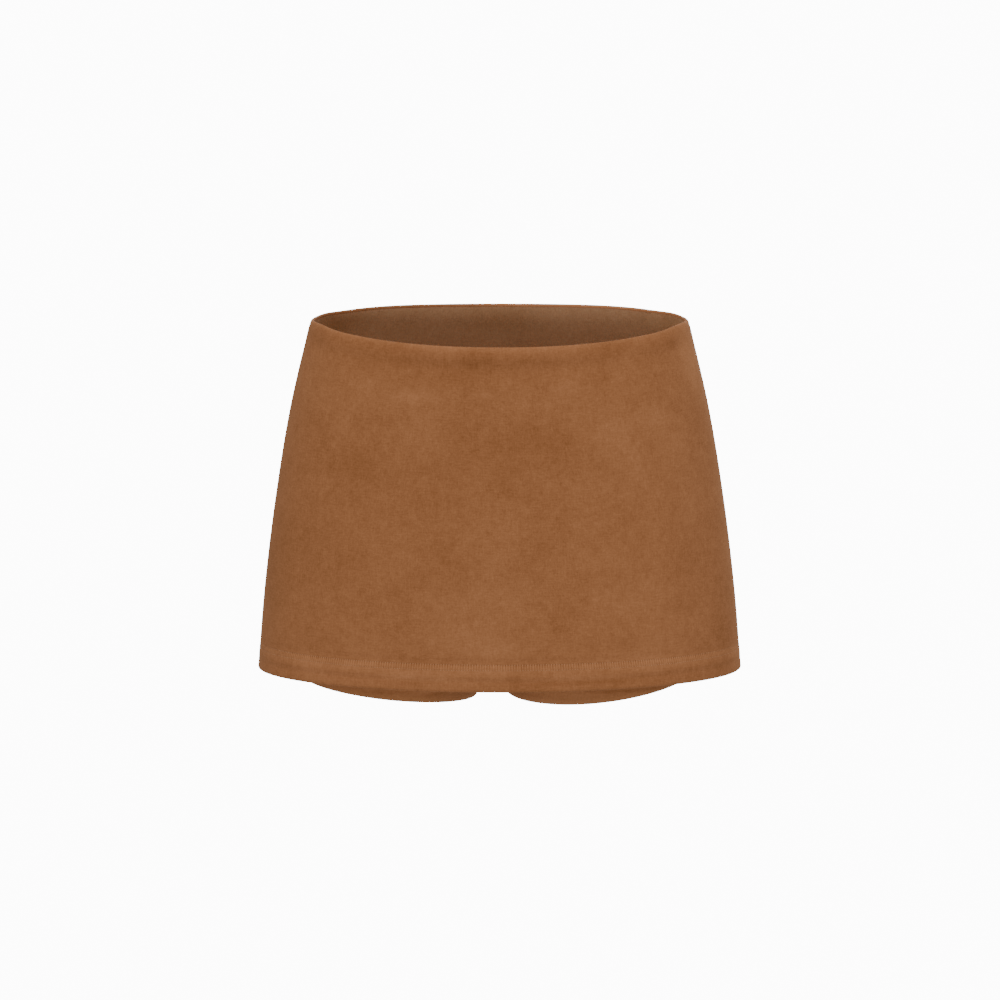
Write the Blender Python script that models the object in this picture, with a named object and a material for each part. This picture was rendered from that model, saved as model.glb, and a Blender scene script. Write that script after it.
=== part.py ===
"""A wrap skort: a flared, low-rise mini skirt of suede knit over short inner shorts, filled out as worn.

Metres, +Z up. The front faces -Y and the wearer's left is +X. The origin is the middle of the waist
opening, level with its side points. Every size below is in millimetres, and a "drop" is a depth below
the origin. Headings are degrees round the body: 0 at the left side, 90 behind, 180 at the right side.
"""

import math
from collections import namedtuple

import bmesh
import bpy
from mathutils import Vector

MILLIMETRE = 0.001

# The cloth, and how its pieces meet
WALL = 1.5  # the suede knit with its nap
SEAM_GAP = 0.3  # between two pieces, and between the layers of a turned hem
WAIST_GAP = 0.5  # between the skirt and the shorts at the waist
LAP_GAP = 0.6  # between the two skirt panels where they lap
FOLD_RADIUS = WALL + SEAM_GAP / 2  # outer radius of a turned hem's fold

# The waist's edge
WAIST_DIP = 14.6  # how far the edge dips in front
WAIST_RISE = 5.0  # how far it rises behind
WAIST_SWEEP = 2.3  # how squarely the dip leaves the side points

# The skirt: level rings, listed every RING_PITCH below the waist's side points
Ring = namedtuple("Ring", "half_width front back fullness")
RING_PITCH = 75.0
SKIRT_RINGS = (
    Ring(half_width=162.0, front=98.0, back=108.0, fullness=2.15),
    Ring(half_width=179.3, front=112.0, back=128.0, fullness=2.10),
    Ring(half_width=191.7, front=124.0, back=140.0, fullness=2.05),
    Ring(half_width=200.9, front=134.0, back=146.0, fullness=2.00),
    Ring(half_width=207.0, front=142.0, back=150.0, fullness=2.00),
)
SKIRT_HEM = 300.0  # drop of the skirt's hem
SKIRT_TURN = 24.0  # height of its turned hem

# The skirt's two long edges: a seam just behind the right side, and the lap behind the left side
SEAM_HEADING = 177.0
LAP_START = 0.0  # where the back panel ends, under the front one
LAP_END = 26.0  # where the front panel's free edge lies, on the back one
LAP_RAMP = 4.0  # how many degrees the layer beneath takes to step in
LAP_LIFT = 4.0  # how far the free edge stands off at the hem
HEM_STEP = (200.0, 260.0)  # drops between which the lap makes room for the turned hem

# The shorts, above the fork: how much closer in than the skirt they lie, every RING_PITCH below the edge
Ease = namedtuple("Ease", "half_width front back")
SHORTS_EASE = (
    Ease(half_width=0.0, front=0.0, back=0.0),
    Ease(half_width=5.3, front=4.0, back=2.5),
    Ease(half_width=13.7, front=11.0, back=8.0),
    Ease(half_width=23.0, front=22.0, back=18.0),
    Ease(half_width=30.0, front=31.0, back=24.0),
)
FORK_START = 160.0  # drop where the centre seams begin to turn under
FORK = 245.0  # drop of the fork, where the four shorts pieces meet

# The shorts' legs, below the fork
LEG_REACH = 178.0  # half width of both legs together at the fork
LEG_DEPTH = 104.0  # half depth of a leg
LEG_CENTRE = 5.0  # how far behind the side points a leg's middle lies
LEG_TURN = 20.0  # height of a leg's turned hem
Leg = namedtuple("Leg", "side inner outer inseam_drop side_drop curve")
LEGS = {
    "right": Leg(side=-1, inner=18.5, outer=174.0, inseam_drop=324.0, side_drop=305.5, curve=0.8),
    "left": Leg(side=1, inner=4.8, outer=165.5, inseam_drop=321.5, side_drop=305.5, curve=1.85),
}
HALF_SEAM = 0.00027  # share of half the body's girth that a piece stops short of a seam

# How finely the pieces are faceted
SKIRT_FRONT_COLUMNS = 40
SKIRT_BACK_COLUMNS = 36
SKIRT_ROWS = 8
SHORTS_COLUMNS = 12
SHORTS_ROWS = 5
FORK_ROWS = 5
LEG_ROWS = 2
FOLD_ROWS = 3

# Colours, linear
SKIRT_BROWN = (0.285, 0.115, 0.044, 1.0)
SHORTS_BROWN = (0.235, 0.092, 0.036, 1.0)
SUEDE_ROUGHNESS = 0.9


def smooth(share):
    """Ease from 0 to 1."""
    share = min(max(share, 0.0), 1.0)
    return share * share * (3 - 2 * share)


def between(low, high, share):
    return low + (high - low) * share


def read_table(rows, position):
    """A table's columns at a depth, on a smooth curve through its evenly spaced rows."""
    place = position / RING_PITCH
    index = min(max(int(place), 0), len(rows) - 2)
    share = place - index
    values = []
    for column in zip(*rows):
        start, end = column[index], column[index + 1]
        before = column[index - 1] if index else 2 * start - end
        after = column[index + 2] if index + 2 < len(rows) else 2 * end - start
        slope_in, slope_out = (end - before) / 2, (after - start) / 2
        values.append(
            start
            + slope_in * share
            + (3 * (end - start) - 2 * slope_in - slope_out) * share**2
            + (slope_in + slope_out - 2 * (end - start)) * share**3
        )
    return type(rows[0])(*values)


def ring_point(ring, heading, drop):
    """A point on a level ring, which is an ellipse of its own depth in front and behind."""
    across, along = math.cos(math.radians(heading)), math.sin(math.radians(heading))
    half_depth = ring.back if along > 0 else ring.front
    total = abs(across / ring.half_width) ** ring.fullness + abs(along / half_depth) ** ring.fullness
    reach = total ** (-1 / ring.fullness)
    return Vector((reach * across, reach * along, -drop))


def waist_edge(heading):
    """Drop of the waist's edge: it dips in front and rises behind."""
    point = ring_point(SKIRT_RINGS[0], heading, 0.0)
    sweep = 1 - abs(point.x / SKIRT_RINGS[0].half_width) ** WAIST_SWEEP
    return sweep * (-WAIST_RISE if point.y > 0 else WAIST_DIP)


def set_in(skin, around, drop, depth):
    """A point below a skin, square to it. Skins run so that this cross product points outwards."""
    round_step, drop_step = 0.001, 0.5
    span = skin.turn * round_step
    tangent = skin(around + span, drop) - skin(around - span, drop)
    fall = skin(around, drop + drop_step) - skin(around, drop - drop_step)
    return skin(around, drop) - fall.cross(tangent).normalized() * depth


class SkirtSkin:
    """The skirt's outer form, read by heading and drop."""

    turn = 360.0

    def __call__(self, heading, drop):
        return ring_point(read_table(SKIRT_RINGS, drop), heading, drop)


class ShortsSkin:
    """One half of the shorts' outer form, read by its share of the way round from the centre front.

    Above the fork it is half a ring round the hips, and below it a whole ring round one leg. In
    between the two are mixed so that the centre seams run down and under in quarter ellipses.
    """

    def __init__(self, leg):
        self.leg = leg
        self.turn = leg.side  # the left half runs forward round the body, and the right half backward

    def heading(self, share):
        return -90 + 180 * share if self.leg.side > 0 else 270 - 180 * share

    def hip_point(self, share, drop):
        heading = self.heading(share)
        skirt = read_table(SKIRT_RINGS, drop)
        ease = read_table(SHORTS_EASE, drop - waist_edge(heading))
        ring = Ring(
            skirt.half_width - ease.half_width,
            skirt.front - ease.front,
            skirt.back - ease.back,
            skirt.fullness,
        )
        return ring_point(ring, heading, drop)

    def hem_drop(self, share):
        outward = (1 - math.cos(math.tau * share)) / 2
        return between(self.leg.inseam_drop, self.leg.side_drop, outward**self.leg.curve)

    def leg_point(self, share, drop):
        down = smooth((drop - FORK) / (self.leg.inseam_drop - FORK))
        inner = self.leg.inner * down
        outer = between(LEG_REACH, self.leg.outer, down)
        outward = (1 - math.cos(math.tau * share)) / 2
        forward = LEG_DEPTH * math.sin(math.tau * share)
        return Vector((self.leg.side * between(inner, outer, outward), LEG_CENTRE - forward, -drop))

    def __call__(self, share, drop):
        fork = min(max((drop - FORK_START) / (FORK - FORK_START), 0.0), 1.0)
        mix = 1 - math.sqrt(1 - fork * fork)
        return self.hip_point(share, drop).lerp(self.leg_point(share, drop), mix)


def turned_section(station, top, hem, turn, layer):
    """Drop and depth at a station of a panel whose hem is turned under.

    Layer 0 is the cloth's face and 1 its back. A station is a stretch of the section and a share of
    it: the fall from the top edge, the fold round the hem, and the turn back up inside.
    """
    stretch, share = station
    centre = hem - FOLD_RADIUS
    radius = FOLD_RADIUS - WALL * layer
    if stretch == "fall":
        return between(top, centre, share), FOLD_RADIUS - radius
    if stretch == "fold":
        bend = math.pi * share
        return centre + radius * math.sin(bend), FOLD_RADIUS - radius * math.cos(bend)
    return between(centre, hem - turn, share), FOLD_RADIUS + radius


def stretch_stations(stretch, rows):
    """Evenly spaced stations of one stretch, after its start."""
    return [(stretch, (row + 1) / rows) for row in range(rows)]


def front_shift(heading, drop):
    """How far the front panel stands out: its free edge lifts towards the hem."""
    return LAP_LIFT * smooth(drop / SKIRT_HEM) * smooth((heading - 360) / LAP_END)


def back_shift(heading, drop):
    """How far the back panel steps in to pass under the front one, and under its turned hem."""
    hem_room = (WALL + SEAM_GAP) * smooth((drop - HEM_STEP[0]) / (HEM_STEP[1] - HEM_STEP[0]))
    return -(WALL + LAP_GAP + hem_room) * smooth((LAP_END + LAP_RAMP - heading) / LAP_RAMP)


def shorts_shift(heading, drop):
    """How far the shorts lie under the skirt, and further still under the lap near the waist."""
    into_lap = smooth((heading - LAP_START + LAP_RAMP) / LAP_RAMP)
    out_of_lap = smooth((LAP_END + LAP_RAMP - heading) / LAP_RAMP)
    fade = 1 - smooth((drop - waist_edge(heading)) / RING_PITCH)
    return -(WALL + WAIST_GAP) - (WALL + LAP_GAP) * into_lap * out_of_lap * fade


def skirt_placer(first, last, shift):
    """Where a skirt panel's points go, between two headings."""
    skin = SkirtSkin()

    def place(across, station, layer):
        heading = between(first, last, across)
        drop, depth = turned_section(station, waist_edge(heading), SKIRT_HEM, SKIRT_TURN, layer)
        return set_in(skin, heading, drop, depth - shift(heading, drop))

    return place


def shorts_placer(leg, first, last):
    """Where a shorts piece's points go, between two shares of the way round its half."""
    skin = ShortsSkin(leg)

    def place(across, station, layer):
        share = between(first, last, across)
        stretch, along = station
        heading = skin.heading(share)
        top = waist_edge(heading)
        hem = skin.hem_drop(share)
        if stretch == "hip":
            drop, depth = between(top, FORK_START, along), WALL * layer
        elif stretch == "fork":
            turned = math.sin(math.pi / 2 * along)
            drop, depth = between(FORK_START, FORK, turned), WALL * layer
        else:
            drop, depth = turned_section(station, FORK, hem, LEG_TURN, layer)
        point = set_in(skin, share, drop, depth - shorts_shift(heading, drop))
        point.x = leg.side * max(leg.side * point.x, SEAM_GAP / 2)
        return point

    return place


def suede(name, colour):
    material = bpy.data.materials.new(name)
    material.use_nodes = True
    shader = material.node_tree.nodes["Principled BSDF"]
    shader.inputs["Base Color"].default_value = colour
    shader.inputs["Roughness"].default_value = SUEDE_ROUGHNESS
    shader.inputs["Metallic"].default_value = 0.0
    return material


def cloth(name, columns, stations, place, material, collection):
    """A piece of cloth: a flat grid laid on the form, then extruded into a wall."""
    rows = len(stations) - 1
    shape = bmesh.new()
    bmesh.ops.create_grid(shape, x_segments=columns, y_segments=rows, size=0.5)
    face_points = shape.verts[:]
    extruded = bmesh.ops.extrude_face_region(shape, geom=shape.faces[:], use_keep_orig=True)
    back_points = [item for item in extruded["geom"] if isinstance(item, bmesh.types.BMVert)]
    for layer, points in enumerate((face_points, back_points)):
        for point in points:
            across = point.co.x + 0.5
            row = round((0.5 - point.co.y) * rows)
            point.co = place(across, stations[row], layer) * MILLIMETRE
    bmesh.ops.recalc_face_normals(shape, faces=shape.faces[:])
    if shape.calc_volume(signed=True) < 0:
        bmesh.ops.reverse_faces(shape, faces=shape.faces[:])
    mesh = bpy.data.meshes.new(name)
    shape.to_mesh(mesh)
    shape.free()
    mesh.shade_smooth()
    mesh.set_sharp_from_angle(angle=math.radians(40))
    mesh.materials.append(material)
    collection.objects.link(bpy.data.objects.new(name, mesh))


def build_skirt(collection):
    """Two flared panels, seamed behind the right side and lapped behind the left one."""
    seam = math.degrees(SEAM_GAP / 2 / SKIRT_RINGS[0].half_width)
    fall = [("fall", 0.0)] + stretch_stations("fall", SKIRT_ROWS)
    stations = fall + stretch_stations("fold", FOLD_ROWS) + stretch_stations("turn", 1)
    front = skirt_placer(SEAM_HEADING + seam, 360 + LAP_END, front_shift)
    back = skirt_placer(LAP_START, SEAM_HEADING - seam, back_shift)
    front_suede = suede("skirt_front_suede", SKIRT_BROWN)
    back_suede = suede("skirt_back_suede", SKIRT_BROWN)
    cloth("skirt_front", SKIRT_FRONT_COLUMNS, stations, front, front_suede, collection)
    cloth("skirt_back", SKIRT_BACK_COLUMNS, stations, back, back_suede, collection)


def build_shorts(collection):
    """Four pieces, seamed at the sides, the centre front and back, and the inside of each leg."""
    hip = [("hip", 0.0)] + stretch_stations("hip", SHORTS_ROWS)
    leg_fall = stretch_stations("fall", LEG_ROWS)
    stations = hip + stretch_stations("fork", FORK_ROWS) + leg_fall
    stations += stretch_stations("fold", FOLD_ROWS) + stretch_stations("turn", 1)
    spans = {"front": (HALF_SEAM, 0.5 - HALF_SEAM), "back": (0.5 + HALF_SEAM, 1 - HALF_SEAM)}
    for side, leg in LEGS.items():
        for face, (first, last) in spans.items():
            name = f"shorts_{face}_{side}"
            place = shorts_placer(leg, first, last)
            cloth(name, SHORTS_COLUMNS, stations, place, suede(name + "_suede", SHORTS_BROWN), collection)


def main():
    for leftover in list(bpy.data.objects):
        bpy.data.objects.remove(leftover)
    collection = bpy.data.collections.new("wrap_skort")
    bpy.context.scene.collection.children.link(collection)
    build_skirt(collection)
    build_shorts(collection)


main()
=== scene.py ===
"""A wrap skort of napped suede knit, filled out as worn: a flared mini skirt over short inner shorts.

Metres, +Z up. The front faces -Y, the wearer's left is +X, and the origin is the middle of the waist
opening, level with its side points. A drop is a depth below the origin. Headings are degrees round the
body: 0 at the left side, 90 behind, 180 at the right side and 270 in front.
"""

import math
from collections import namedtuple

import bpy
import numpy as np
from mathutils import Matrix, Vector


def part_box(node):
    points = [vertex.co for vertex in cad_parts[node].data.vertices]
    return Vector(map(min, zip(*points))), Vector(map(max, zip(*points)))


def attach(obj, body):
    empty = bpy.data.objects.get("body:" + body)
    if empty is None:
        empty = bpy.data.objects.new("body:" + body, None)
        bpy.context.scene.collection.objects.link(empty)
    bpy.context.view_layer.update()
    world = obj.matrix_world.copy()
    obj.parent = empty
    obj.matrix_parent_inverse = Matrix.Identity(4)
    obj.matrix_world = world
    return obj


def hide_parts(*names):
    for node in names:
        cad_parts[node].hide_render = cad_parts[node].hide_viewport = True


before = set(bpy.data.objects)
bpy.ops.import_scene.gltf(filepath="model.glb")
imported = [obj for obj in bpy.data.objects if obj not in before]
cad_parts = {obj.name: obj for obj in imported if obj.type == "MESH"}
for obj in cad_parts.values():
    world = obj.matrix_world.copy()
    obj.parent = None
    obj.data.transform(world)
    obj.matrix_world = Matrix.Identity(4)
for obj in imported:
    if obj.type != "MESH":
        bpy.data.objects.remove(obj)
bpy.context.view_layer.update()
bpy.ops.object.select_all(action="DESELECT")

# ---------------------------------------------------------------- the camera
# A long lens four metres off and a little above the waist, so that the far side of the waist shows over
# the near one.

AIM = Vector((0.0004, 0.0, -0.1555))
CAMERA_DISTANCE = 4.0
CAMERA_ELEVATION = math.radians(7.0)
LENS = 167.4

back_off = Vector((0.0, -math.cos(CAMERA_ELEVATION), math.sin(CAMERA_ELEVATION)))
bpy.ops.object.camera_add(
    location=AIM + back_off * CAMERA_DISTANCE,
    rotation=(math.pi / 2 - CAMERA_ELEVATION, 0.0, 0.0),
)
camera = bpy.context.object
camera.data.lens = LENS
camera.data.sensor_width = 36.0
bpy.context.scene.camera = camera

# ---------------------------------------------------------------- the skirt's front panel
# One wide piece of suede knit, from a seam behind the right side, right across the front, to the lap
# behind the left side. Its top is rolled in over the shorts' top edge, and its hem is turned up.

WALL = 0.0013  # the knit with its nap
SEAM_GAP = 0.00003  # between two pieces where they meet

Ring = namedtuple("Ring", "half_width front back fullness")
RING_PITCH = 0.075
SKIRT_RINGS = (
    Ring(half_width=0.1620, front=0.098, back=0.108, fullness=2.15),
    Ring(half_width=0.1796, front=0.112, back=0.128, fullness=2.10),
    Ring(half_width=0.1923, front=0.124, back=0.140, fullness=2.05),
    Ring(half_width=0.2019, front=0.134, back=0.146, fullness=2.00),
    Ring(half_width=0.2085, front=0.142, back=0.150, fullness=2.00),
)
WAIST_DIP, DIP_SWEEP = 0.0146, 2.3  # how far the waist's edge dips in front, and how squarely
WAIST_RISE, RISE_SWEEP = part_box("skirt_back")[1].z + 0.001, 5.0  # the same of its rise behind
SIDE_LIFT = 0.0013  # and how far it lifts beside each side point
LIFT_AT, LIFT_SPREAD = 0.95, 0.07  # as shares of the way out to the side point
SIDE_TUCK = 0.0006  # how far the rolled edge leans in there
SKIRT_HEM = -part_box("skirt_front")[0].z
SKIRT_TURN = 0.024
FOLD_RADIUS = 0.00165  # outside of a turned hem's fold

SEAM_HEADING = 177.0
LAP_END = 386.0  # the front panel's free edge, 26 degrees round behind the left side
LAP_LIFT = 0.004
LAP_DEPTH = 0.0021  # how far the back panel steps in to pass under the front one
LAP_RAMP = 4.0
ROLL_RADIUS = 0.00175  # the waist's rolled edge, over the skirt and the shorts
ROLL_TAIL = 0.0004
UNDER_LAP_TOP = 0.018  # the back panel's top lies flat under the front one from here up


def smooth(share):
    """Ease from 0 to 1."""
    share = np.clip(share, 0.0, 1.0)
    return share * share * (3 - 2 * share)


def between(low, high, share):
    """A share of the way from low to high."""
    return low + (high - low) * share


def hump(distance, spread):
    """1 at the middle, falling away on both sides."""
    return np.exp(-((distance / spread) ** 2))


def read_rings(rings, drop):
    """The rings' columns at each drop, on a smooth curve through their evenly spaced rows."""
    rows = np.array(rings)
    rows = np.vstack((2 * rows[0] - rows[1], rows, 2 * rows[-1] - rows[-2]))
    place = np.asarray(drop) / RING_PITCH
    index = np.clip(place.astype(int), 0, len(rings) - 2)
    share = (place - index)[..., None]
    before, start, end, after = (rows[index + step] for step in range(4))
    slope_in, slope_out, rise = (end - before) / 2, (after - start) / 2, end - start
    swell = (3 * rise - 2 * slope_in - slope_out) * share**2
    settle = (slope_in + slope_out - 2 * rise) * share**3
    return np.moveaxis(start + slope_in * share + (swell + settle), -1, 0)


def ring_point(ring, heading, drop):
    """Points of level rings, each an ellipse of its own depth in front and behind."""
    half_width, front, back, fullness = ring
    across, along = np.cos(np.radians(heading)), np.sin(np.radians(heading))
    half_depth = np.where(along > 0, back, front)
    total = np.abs(across / half_width) ** fullness + np.abs(along / half_depth) ** fullness
    reach = total ** (-1 / fullness)
    return np.stack((reach * across, reach * along, 0 * reach - drop), axis=-1)


def waist_edge(heading):
    """Drop of the waist's edge: it dips in front and rises behind."""
    point = ring_point(SKIRT_RINGS[0], heading, 0.0)
    reach = np.abs(point[..., 0] / SKIRT_RINGS[0].half_width)
    dip, rise = WAIST_DIP * (1 - reach**DIP_SWEEP), -WAIST_RISE * (1 - reach**RISE_SWEEP)
    return np.where(point[..., 1] > 0, rise, dip) - SIDE_LIFT * hump(reach - LIFT_AT, LIFT_SPREAD)


def skirt_skin(heading, drop):
    """The skirt's plain outer form."""
    return ring_point(read_rings(SKIRT_RINGS, drop), heading, drop)


def stand_off(skin, around, drop, height, turn=360.0):
    """Points off a skin, square to it. A positive height is outwards. A turn is once round the skin."""
    span, step = turn * 0.001, 0.0005
    tangent = skin(around + span, drop) - skin(around - span, drop)
    fall = skin(around, drop + step) - skin(around, drop - step)
    outward = np.cross(fall, tangent)
    outward /= np.linalg.norm(outward, axis=-1, keepdims=True)
    return skin(around, drop) + outward * height[..., None]


# Low relief of the cloth, from the waist's edge down and from the hem's edge up: a soft bead and a dip
# under the waist, and above the hem the two sunk lines of stitches and the puffed band under them
Relief = namedtuple("Relief", "distance height")
WAIST_RELIEF = (
    Relief(distance=0.0000, height=-0.0008),
    Relief(distance=0.0060, height=0.0011),
    Relief(distance=0.0085, height=0.0011),
    Relief(distance=0.0190, height=-0.0015),
    Relief(distance=0.0360, height=-0.0005),
    Relief(distance=0.0600, height=0.0000),
)
HEM_RELIEF = (
    Relief(distance=0.0000, height=-0.0002),
    Relief(distance=0.0025, height=0.0002),
    Relief(distance=0.0055, height=0.0001),
    Relief(distance=0.0085, height=-0.0003),
    Relief(distance=0.0130, height=0.0008),
    Relief(distance=0.0182, height=0.0003),
    Relief(distance=0.0228, height=-0.0006),
    Relief(distance=0.0250, height=-0.0009),
    Relief(distance=0.0300, height=-0.0004),
    Relief(distance=0.0450, height=0.0001),
    Relief(distance=0.0600, height=0.0000),
)
STITCH_LINES = (0.0228, 0.0182)  # heights of the hem's two rows of stitches
STITCH_PITCH = 0.0022
STITCH_SINK, STITCH_SPREAD = 0.00018, 0.0008


def read_relief(rows, distance):
    """Height of a relief at a distance from its edge, eased between its rows."""
    distances, heights = np.array(rows).T
    index = np.clip(np.searchsorted(distances, distance) - 1, 0, len(rows) - 2)
    share = smooth((distance - distances[index]) / (distances[index + 1] - distances[index]))
    return between(heights[index], heights[index + 1], share)


# Soft folds, each a ridge, or a trough where its height is negative. Spread is across, reach is down,
# and lean is how far it drifts across for each metre down
Fold = namedtuple("Fold", "heading drop spread reach lean height")
SKIRT_FOLDS = (
    Fold(heading=195, drop=0.018, spread=0.008, reach=0.007, lean=0.0, height=-0.0007),
    Fold(heading=345, drop=0.018, spread=0.009, reach=0.007, lean=0.0, height=-0.0007),
    Fold(heading=190, drop=0.045, spread=0.004, reach=0.022, lean=0.1, height=0.0005),
    Fold(heading=352, drop=0.040, spread=0.007, reach=0.022, lean=-0.1, height=0.0006),
    Fold(heading=205, drop=0.230, spread=0.016, reach=0.080, lean=0.1, height=-0.0006),
    Fold(heading=222, drop=0.250, spread=0.018, reach=0.070, lean=0.2, height=0.0005),
    Fold(heading=322, drop=0.240, spread=0.020, reach=0.080, lean=-0.2, height=0.0005),
    Fold(heading=338, drop=0.210, spread=0.016, reach=0.070, lean=-0.1, height=-0.0006),
    Fold(heading=268, drop=0.270, spread=0.026, reach=0.040, lean=0.0, height=0.0005),
    Fold(heading=160, drop=0.020, spread=0.010, reach=0.009, lean=0.0, height=-0.0007),
    Fold(heading=22, drop=0.022, spread=0.012, reach=0.010, lean=0.0, height=-0.0006),
    Fold(heading=50, drop=0.235, spread=0.018, reach=0.085, lean=-0.1, height=0.0012),
    Fold(heading=66, drop=0.250, spread=0.018, reach=0.080, lean=-0.1, height=-0.0010),
    Fold(heading=92, drop=0.255, spread=0.022, reach=0.075, lean=0.0, height=0.0012),
    Fold(heading=117, drop=0.240, spread=0.018, reach=0.085, lean=0.1, height=-0.0010),
    Fold(heading=133, drop=0.245, spread=0.017, reach=0.080, lean=0.1, height=0.0012),
    Fold(heading=150, drop=0.225, spread=0.015, reach=0.070, lean=0.1, height=-0.0008),
    Fold(heading=90, drop=0.050, spread=0.030, reach=0.012, lean=0.0, height=-0.0005),
)


def fold_relief(folds, heading, drop, girth):
    """Height of all the soft folds together. Girth is metres for each radian round."""
    height = np.zeros_like(drop)
    for fold in folds:
        down = drop - fold.drop
        turn = (heading - fold.heading + 180) % 360 - 180
        across = np.radians(turn) * girth - fold.lean * down
        height += fold.height * hump(across, fold.spread) * hump(down, fold.reach)
    return height


# Both reliefs die away towards the side points, the waist's sooner than the hem's, and neither is quite
# even on its way round
SIDE_SHARE, SIDE_RATE = 0.15, 2.2
WAIST_SHARE, WAIST_START, WAIST_EASE = 0.45, 0.66, 0.26
HEM_UNEVEN = 0.6
TUCK_REACH = 0.006


def skirt_relief(heading, drop):
    """How far the cloth stands off the plain form."""
    girth = np.hypot(*np.moveaxis(skirt_skin(heading, drop), -1, 0)[:2])
    below_edge = drop - waist_edge(heading)
    above_hem = SKIRT_HEM - drop
    from_sides = np.abs(np.sin(np.radians(heading)))
    full = between(SIDE_SHARE, 1.0, smooth(from_sides * SIDE_RATE))
    uneven = 0.85 + 0.15 * np.sin(np.radians(heading * 3 + 20)) + 0.1 * np.sin(np.radians(heading * 7))
    waist_full = between(WAIST_SHARE, 1.0, smooth((from_sides - WAIST_START) / WAIST_EASE))
    height = read_relief(WAIST_RELIEF, below_edge) * uneven * full * waist_full
    height += read_relief(HEM_RELIEF, above_hem) * between(1.0, uneven, HEM_UNEVEN) * full
    height -= SIDE_TUCK * (1 - full) * hump(below_edge, TUCK_REACH)
    for line in STITCH_LINES:
        height -= STITCH_SINK * hump(above_hem - line, STITCH_SPREAD)
    return height + fold_relief(SKIRT_FOLDS, heading, drop, girth)


EDGE_RADIUS = 0.0012
PRESSED_TO = 0.008  # down to this drop a panel's side edges are pressed flat
SEAM_SINK, SEAM_SPREAD = 0.0007, 0.0011


def edge_rounding(distance):
    """How far a free edge turns in, at a distance from it."""
    share = np.clip(1 - distance / EDGE_RADIUS, 0.0, 1.0)
    return EDGE_RADIUS * (1 - np.sqrt(1 - share * share))


def seam_sink(distance, drop, start=0.0, ease=PRESSED_TO):
    """How far the cloth is drawn in by a seam, at a distance from it. Down to start it lies flat."""
    return SEAM_SINK * hump(distance, SEAM_SPREAD) * smooth((drop - start) / ease)


def front_face(heading, drop, height=0.0, relief=1.0):
    """Points of the front panel's face, or at a height off it."""
    lift = LAP_LIFT * smooth(drop / SKIRT_HEM) * smooth((heading - 360) / (LAP_END - 360))
    return stand_off(skirt_skin, heading, drop, height + lift + relief * skirt_relief(heading, drop))


# How a panel's grid is spaced: close at its side edges, its top and its hem
EDGE_STEPS = (0.0, 0.0002, 0.0005, 0.0009, 0.0014, 0.0022, 0.0034, 0.0050)


def spaced_columns(first, last, count, metres_each, extra=()):
    """Stations across a panel, from one side edge to the other, in units of so many metres each."""
    near = first + np.array(EDGE_STEPS) / metres_each
    far = last - np.array(EDGE_STEPS)[::-1] / metres_each
    middle = np.union1d(np.linspace(near[-1], far[0], count)[1:-1], extra)
    return np.concatenate((near, middle, far))


def run_lengths(line):
    """Length along a line of points, at each of them."""
    return np.append(0, np.cumsum(np.linalg.norm(np.diff(line, axis=0), axis=-1)))


def stretch_rows(stretch, start, end, rows):
    """Rows of one stretch of a section, after its start."""
    return [(stretch, between(start, end, (row + 1) / rows)) for row in range(rows)]


TOP_ZONE, HEM_ZONE = 0.030, 0.034  # where the rows lie closer
SKIRT_ROWS = (
    [("tail", 0.0)]
    + stretch_rows("tail", 0, 1, 1)
    + stretch_rows("roll", 1, 0, 8)
    + stretch_rows("below", 0, TOP_ZONE, 22)
    + stretch_rows("middle", 0, 1, 80)
    + stretch_rows("above", HEM_ZONE, FOLD_RADIUS, 40)
    + stretch_rows("fold", 0, 1, 8)
    + stretch_rows("turn", 0, 1, 8)
)
HEM_END = 0.006  # the hem's fold is pressed shut over this width beside a free edge
HEM_END_RADIUS = 0.00135


def turned_hem(stretch, at, radius, turn):
    """Drop below the hem's edge, height and facing of the fold round the hem and of the turn inside it.
    A facing is 1 where the cloth faces out, and -1 where it is turned to face in."""
    if stretch == "fold":
        bend = math.pi * at
        return -radius * (1 - math.sin(bend)), -radius * (1 - math.cos(bend)), math.cos(bend)
    return between(-radius, -turn, at), -2 * radius, -1.0


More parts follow.
